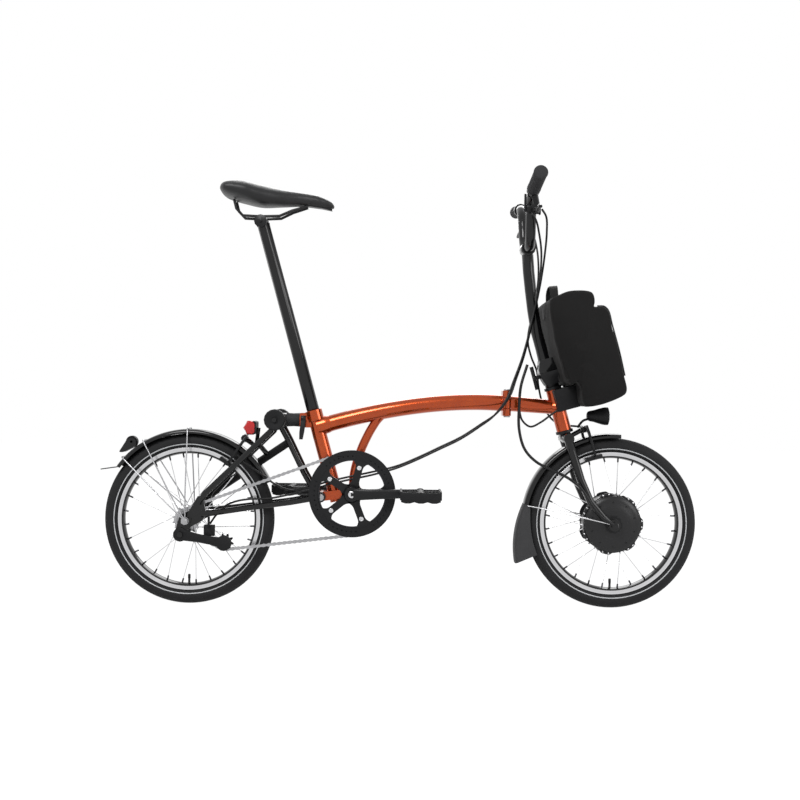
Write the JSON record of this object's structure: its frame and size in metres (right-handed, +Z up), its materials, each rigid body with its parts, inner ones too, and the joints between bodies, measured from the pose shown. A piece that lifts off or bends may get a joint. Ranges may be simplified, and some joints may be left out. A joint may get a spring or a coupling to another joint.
{
  "type": "folding bicycle",
  "caption": "Small-wheeled folding bicycle with hinged frame, rear swing fold, folding handlebar post, telescoping seatpost, front hub motor and lift-off battery bag.",
  "frame": {"origin": "middle of the whole part's box, on the ground under the tyres", "axes": "+X forwards, +Y to the rider's left, +Z up; the chain side faces -Y"},
  "size_m": [1.472, 0.534, 1.0412],
  "materials": {
    "lacquer": "gloss",
    "black_enamel": "satin",
    "alloy": "satin",
    "steel": "satin",
    "black_plastic": "satin",
    "grip_rubber": "matte",
    "tyre": "matte",
    "black_fabric": "matte",
    "saddle_cover": "satin",
    "cable_outer": "satin",
    "lamp": "gloss",
    "red_lens": "gloss"
  },
  "bodies": {
    "frame": {"main_frame": "lacquer", "bottom_bracket": "steel", "rear_pivot_pin": "alloy", "frame_hinge_pin": "alloy", "chain": "steel", "rear_brake_cable": "cable_outer", "gear_cable": "cable_outer"},
    "front": {"front_frame": "lacquer", "battery_dock": "black_plastic", "motor_cable": "cable_outer"},
    "steerer": {"fork": "black_enamel", "post_hinge_base": "black_enamel", "front_mudguard": "black_plastic", "headlamp": "lamp", "front_brake_cable": "cable_outer"},
    "post": {"steering_post": "black_enamel", "handlebar": "black_enamel", "grip_left": "grip_rubber", "grip_right": "grip_rubber", "brake_bracket_left": "black_plastic", "brake_bracket_right": "black_plastic"},
    "rear": {"rear_frame": "black_enamel", "suspension_block": "grip_rubber", "rear_mudguard": "black_plastic", "mudguard_stays": "steel", "tail_lamp": "red_lens", "rear_axle": "steel", "hand_pump": "black_plastic"},
    "front_wheel": {"front_rim": "alloy", "front_motor": "steel", "front_tyre": "tyre"},
    "rear_wheel": {"rear_rim": "alloy", "rear_hub": "alloy", "rear_tyre": "tyre"},
    "crank": {"crank_right": "black_enamel", "chainring": "alloy", "crank_left": "black_enamel"},
    "pedal_l": {"pedal_left": "black_plastic"},
    "pedal_r": {"pedal_right": "black_plastic"},
    "sprocket_set": {"sprockets": "steel"},
    "tensioner": {"tensioner_arm": "black_plastic"},
    "jockey": {"jockey_wheel": "black_plastic"},
    "pusher": {"chain_pusher": "black_plastic"},
    "brake_front_l": {"front_brake_arm_left": "black_enamel"},
    "brake_front_r": {"front_brake_arm_right": "black_enamel"},
    "brake_rear_l": {"rear_brake_arm_left": "black_enamel"},
    "brake_rear_r": {"rear_brake_arm_right": "black_enamel"},
    "wheel_l": {"roller_left": "black_plastic"},
    "wheel_r": {"roller_right": "black_plastic"},
    "guard_wheel": {"mudguard_roller": "black_plastic"},
    "post_tube": {"seatpost": "black_enamel"},
    "saddle": {"saddle_cushion": "saddle_cover", "saddle_rails": "black_plastic"},
    "clamp_lever": {"seat_clamp_lever": "black_enamel"},
    "hinge_lever": {"frame_hinge_lever": "black_enamel"},
    "stem_lever": {"post_hinge_lever": "black_enamel"},
    "lever_l": {"brake_lever_left": "black_enamel"},
    "lever_r": {"brake_lever_right": "black_enamel"},
    "trigger": {"shift_trigger": "black_plastic"},
    "bag": {"battery_bag": "black_fabric"}
  },
  "joints": [
    {"name": "frame_fold", "type": "hinge", "parent": "frame", "child": "front", "pos_m": [0.263, -0.034, 0.5035], "axis": [0, 0, -1], "range_deg": [0, 135], "deforming": ["rear_brake_cable", "gear_cable"]},
    {"name": "steering", "type": "hinge", "parent": "front", "child": "steerer", "pos_m": [0.409, 0, 0.438], "axis": [-0.2689, 0, 0.9632], "range_deg": [-50, 50], "deforming": ["rear_brake_cable", "gear_cable", "motor_cable"]},
    {"name": "post_fold", "type": "hinge", "parent": "steerer", "child": "post", "pos_m": [0.3685, 0.029, 0.583], "axis": [-0.9632, 0, -0.2689], "range_deg": [0, 135], "deforming": ["rear_brake_cable", "gear_cable", "front_brake_cable"]},
    {"name": "front_wheel_spin", "type": "hinge", "parent": "steerer", "child": "front_wheel", "pos_m": [0.526, 0, 0.21], "axis": [0, 1, 0], "continuous": true},
    {"name": "rear_fold", "type": "hinge", "parent": "frame", "child": "rear", "pos_m": [-0.191, 0, 0.268], "axis": [0, 1, 0], "range_deg": [-135, 0], "deforming": ["rear_brake_cable", "gear_cable", "chain"]},
    {"name": "rear_wheel_spin", "type": "hinge", "parent": "rear", "child": "rear_wheel", "pos_m": [-0.516, 0, 0.21], "axis": [0, 1, 0], "continuous": true},
    {"name": "crank_spin", "type": "hinge", "parent": "frame", "child": "crank", "pos_m": [-0.1125, 0, 0.279], "axis": [0, 1, 0], "continuous": true, "deforming": ["chain"]},
    {"name": "pedal_left_spin", "type": "hinge", "parent": "crank", "child": "pedal_l", "pos_m": [-0.2774, 0.131, 0.2741], "axis": [0, 1, 0], "continuous": true},
    {"name": "pedal_right_spin", "type": "hinge", "parent": "crank", "child": "pedal_r", "pos_m": [0.0524, -0.131, 0.2839], "axis": [0, 1, 0], "continuous": true},
    {"name": "sprocket_spin", "type": "hinge", "parent": "rear", "child": "sprocket_set", "pos_m": [-0.516, -0.045, 0.21], "axis": [0, 1, 0], "continuous": true},
    {"name": "tensioner_swing", "type": "hinge", "parent": "rear", "child": "tensioner", "pos_m": [-0.527, -0.05, 0.177], "axis": [0, 1, 0], "range_deg": [-12, 18], "stiffness_Nm_per_rad": 1.2, "springref_deg": -34.38, "deforming": ["chain"]},
    {"name": "jockey_spin", "type": "hinge", "parent": "tensioner", "child": "jockey", "pos_m": [-0.42129, -0.0435, 0.15748], "axis": [0, 1, 0], "continuous": true},
    {"name": "chain_shift", "type": "slide", "parent": "rear", "child": "pusher", "axis": [0, 1, 0], "range_m": [0, 0.004], "deforming": ["chain"]},
    {"name": "shift_lever", "type": "hinge", "parent": "post", "child": "trigger", "pos_m": [0.30985, -0.121, 0.9651], "axis": [1, 0, 0], "range_deg": [0, 25], "deforming": ["gear_cable"]},
    {"name": "brake_left_pull", "type": "hinge", "parent": "post", "child": "lever_l", "pos_m": [0.31785, 0.133, 0.9571], "axis": [1, 0, 0], "range_deg": [0, 20], "stiffness_Nm_per_rad": 0.8, "springref_deg": -20.05, "deforming": ["front_brake_cable"]},
    {"name": "brake_right_pull", "type": "hinge", "parent": "post", "child": "lever_r", "pos_m": [0.31785, -0.133, 0.9571], "axis": [-1, 0, 0], "range_deg": [0, 20], "stiffness_Nm_per_rad": 0.8, "springref_deg": -20.05, "deforming": ["rear_brake_cable"]},
    {"name": "front_pad_left", "type": "hinge", "parent": "steerer", "child": "brake_front_l", "pos_m": [0.45985, 0, 0.4407], "axis": [0.9613, 0, 0.2756], "range_deg": [0, 0.95], "stiffness_Nm_per_rad": 0.5},
    {"name": "front_pad_right", "type": "hinge", "parent": "steerer", "child": "brake_front_r", "pos_m": [0.45985, 0, 0.4407], "axis": [-0.9613, 0, -0.2756], "range_deg": [0, 0.95], "stiffness_Nm_per_rad": 0.5},
    {"name": "rear_pad_left", "type": "hinge", "parent": "rear", "child": "brake_rear_l", "pos_m": [-0.3818, 0, 0.409], "axis": [0.829, 0, -0.5592], "range_deg": [0, 0.95], "stiffness_Nm_per_rad": 0.5},
    {"name": "rear_pad_right", "type": "hinge", "parent": "rear", "child": "brake_rear_r", "pos_m": [-0.3818, 0, 0.409], "axis": [-0.829, 0, 0.5592], "range_deg": [0, 0.95], "stiffness_Nm_per_rad": 0.5},
    {"name": "roller_left_spin", "type": "hinge", "parent": "rear", "child": "wheel_l", "pos_m": [-0.301, 0.0658, 0.457], "axis": [0, 1, 0], "continuous": true},
    {"name": "roller_right_spin", "type": "hinge", "parent": "rear", "child": "wheel_r", "pos_m": [-0.301, -0.0658, 0.457], "axis": [0, 1, 0], "continuous": true},
    {"name": "guard_roller_spin", "type": "hinge", "parent": "rear", "child": "guard_wheel", "pos_m": [-0.661, 0, 0.3983], "axis": [0, 1, 0], "continuous": true},
    {"name": "seatpost_slide", "type": "slide", "parent": "frame", "child": "post_tube", "axis": [0.2689, 0, -0.9632], "range_m": [0, 0.4]},
    {"name": "saddle_tilt", "type": "hinge", "parent": "post_tube", "child": "saddle", "pos_m": [-0.346, 0, 0.945], "axis": [0, 1, 0], "range_deg": [-10, 10]},
    {"name": "seat_clamp_open", "type": "hinge", "parent": "frame", "child": "clamp_lever", "pos_m": [-0.2357, -0.021, 0.461], "axis": [-1, 0, 0], "range_deg": [0, 150]},
    {"name": "frame_hinge_screw", "type": "hinge", "parent": "front", "child": "hinge_lever", "pos_m": [0.26735, 0.04, 0.5035], "axis": [0, 1, 0], "range_deg": [0, 720]},
    {"name": "post_hinge_screw", "type": "hinge", "parent": "steerer", "child": "stem_lever", "pos_m": [0.34727, -0.008, 0.5698], "axis": [0.9632, 0, 0.2689], "range_deg": [0, 720]},
    {"name": "bag_lift", "type": "slide", "parent": "front", "child": "bag", "axis": [-0.2689, 0, 0.9632], "range_m": [0, 0.04]}
  ],
  "couplings": [
    {"joint": "sprocket_spin", "follows": "crank_spin", "ratio": 3.8462},
    {"joint": "jockey_spin", "follows": "crank_spin", "ratio": 5.5556},
    {"joint": "chain_shift", "follows": "shift_lever", "m_per_rad": 0.009167},
    {"joint": "front_pad_left", "follows": "brake_left_pull", "ratio": 0.0475},
    {"joint": "front_pad_right", "follows": "brake_left_pull", "ratio": 0.0475},
    {"joint": "rear_pad_left", "follows": "brake_right_pull", "ratio": 0.0475},
    {"joint": "rear_pad_right", "follows": "brake_right_pull", "ratio": 0.0475}
  ]
}
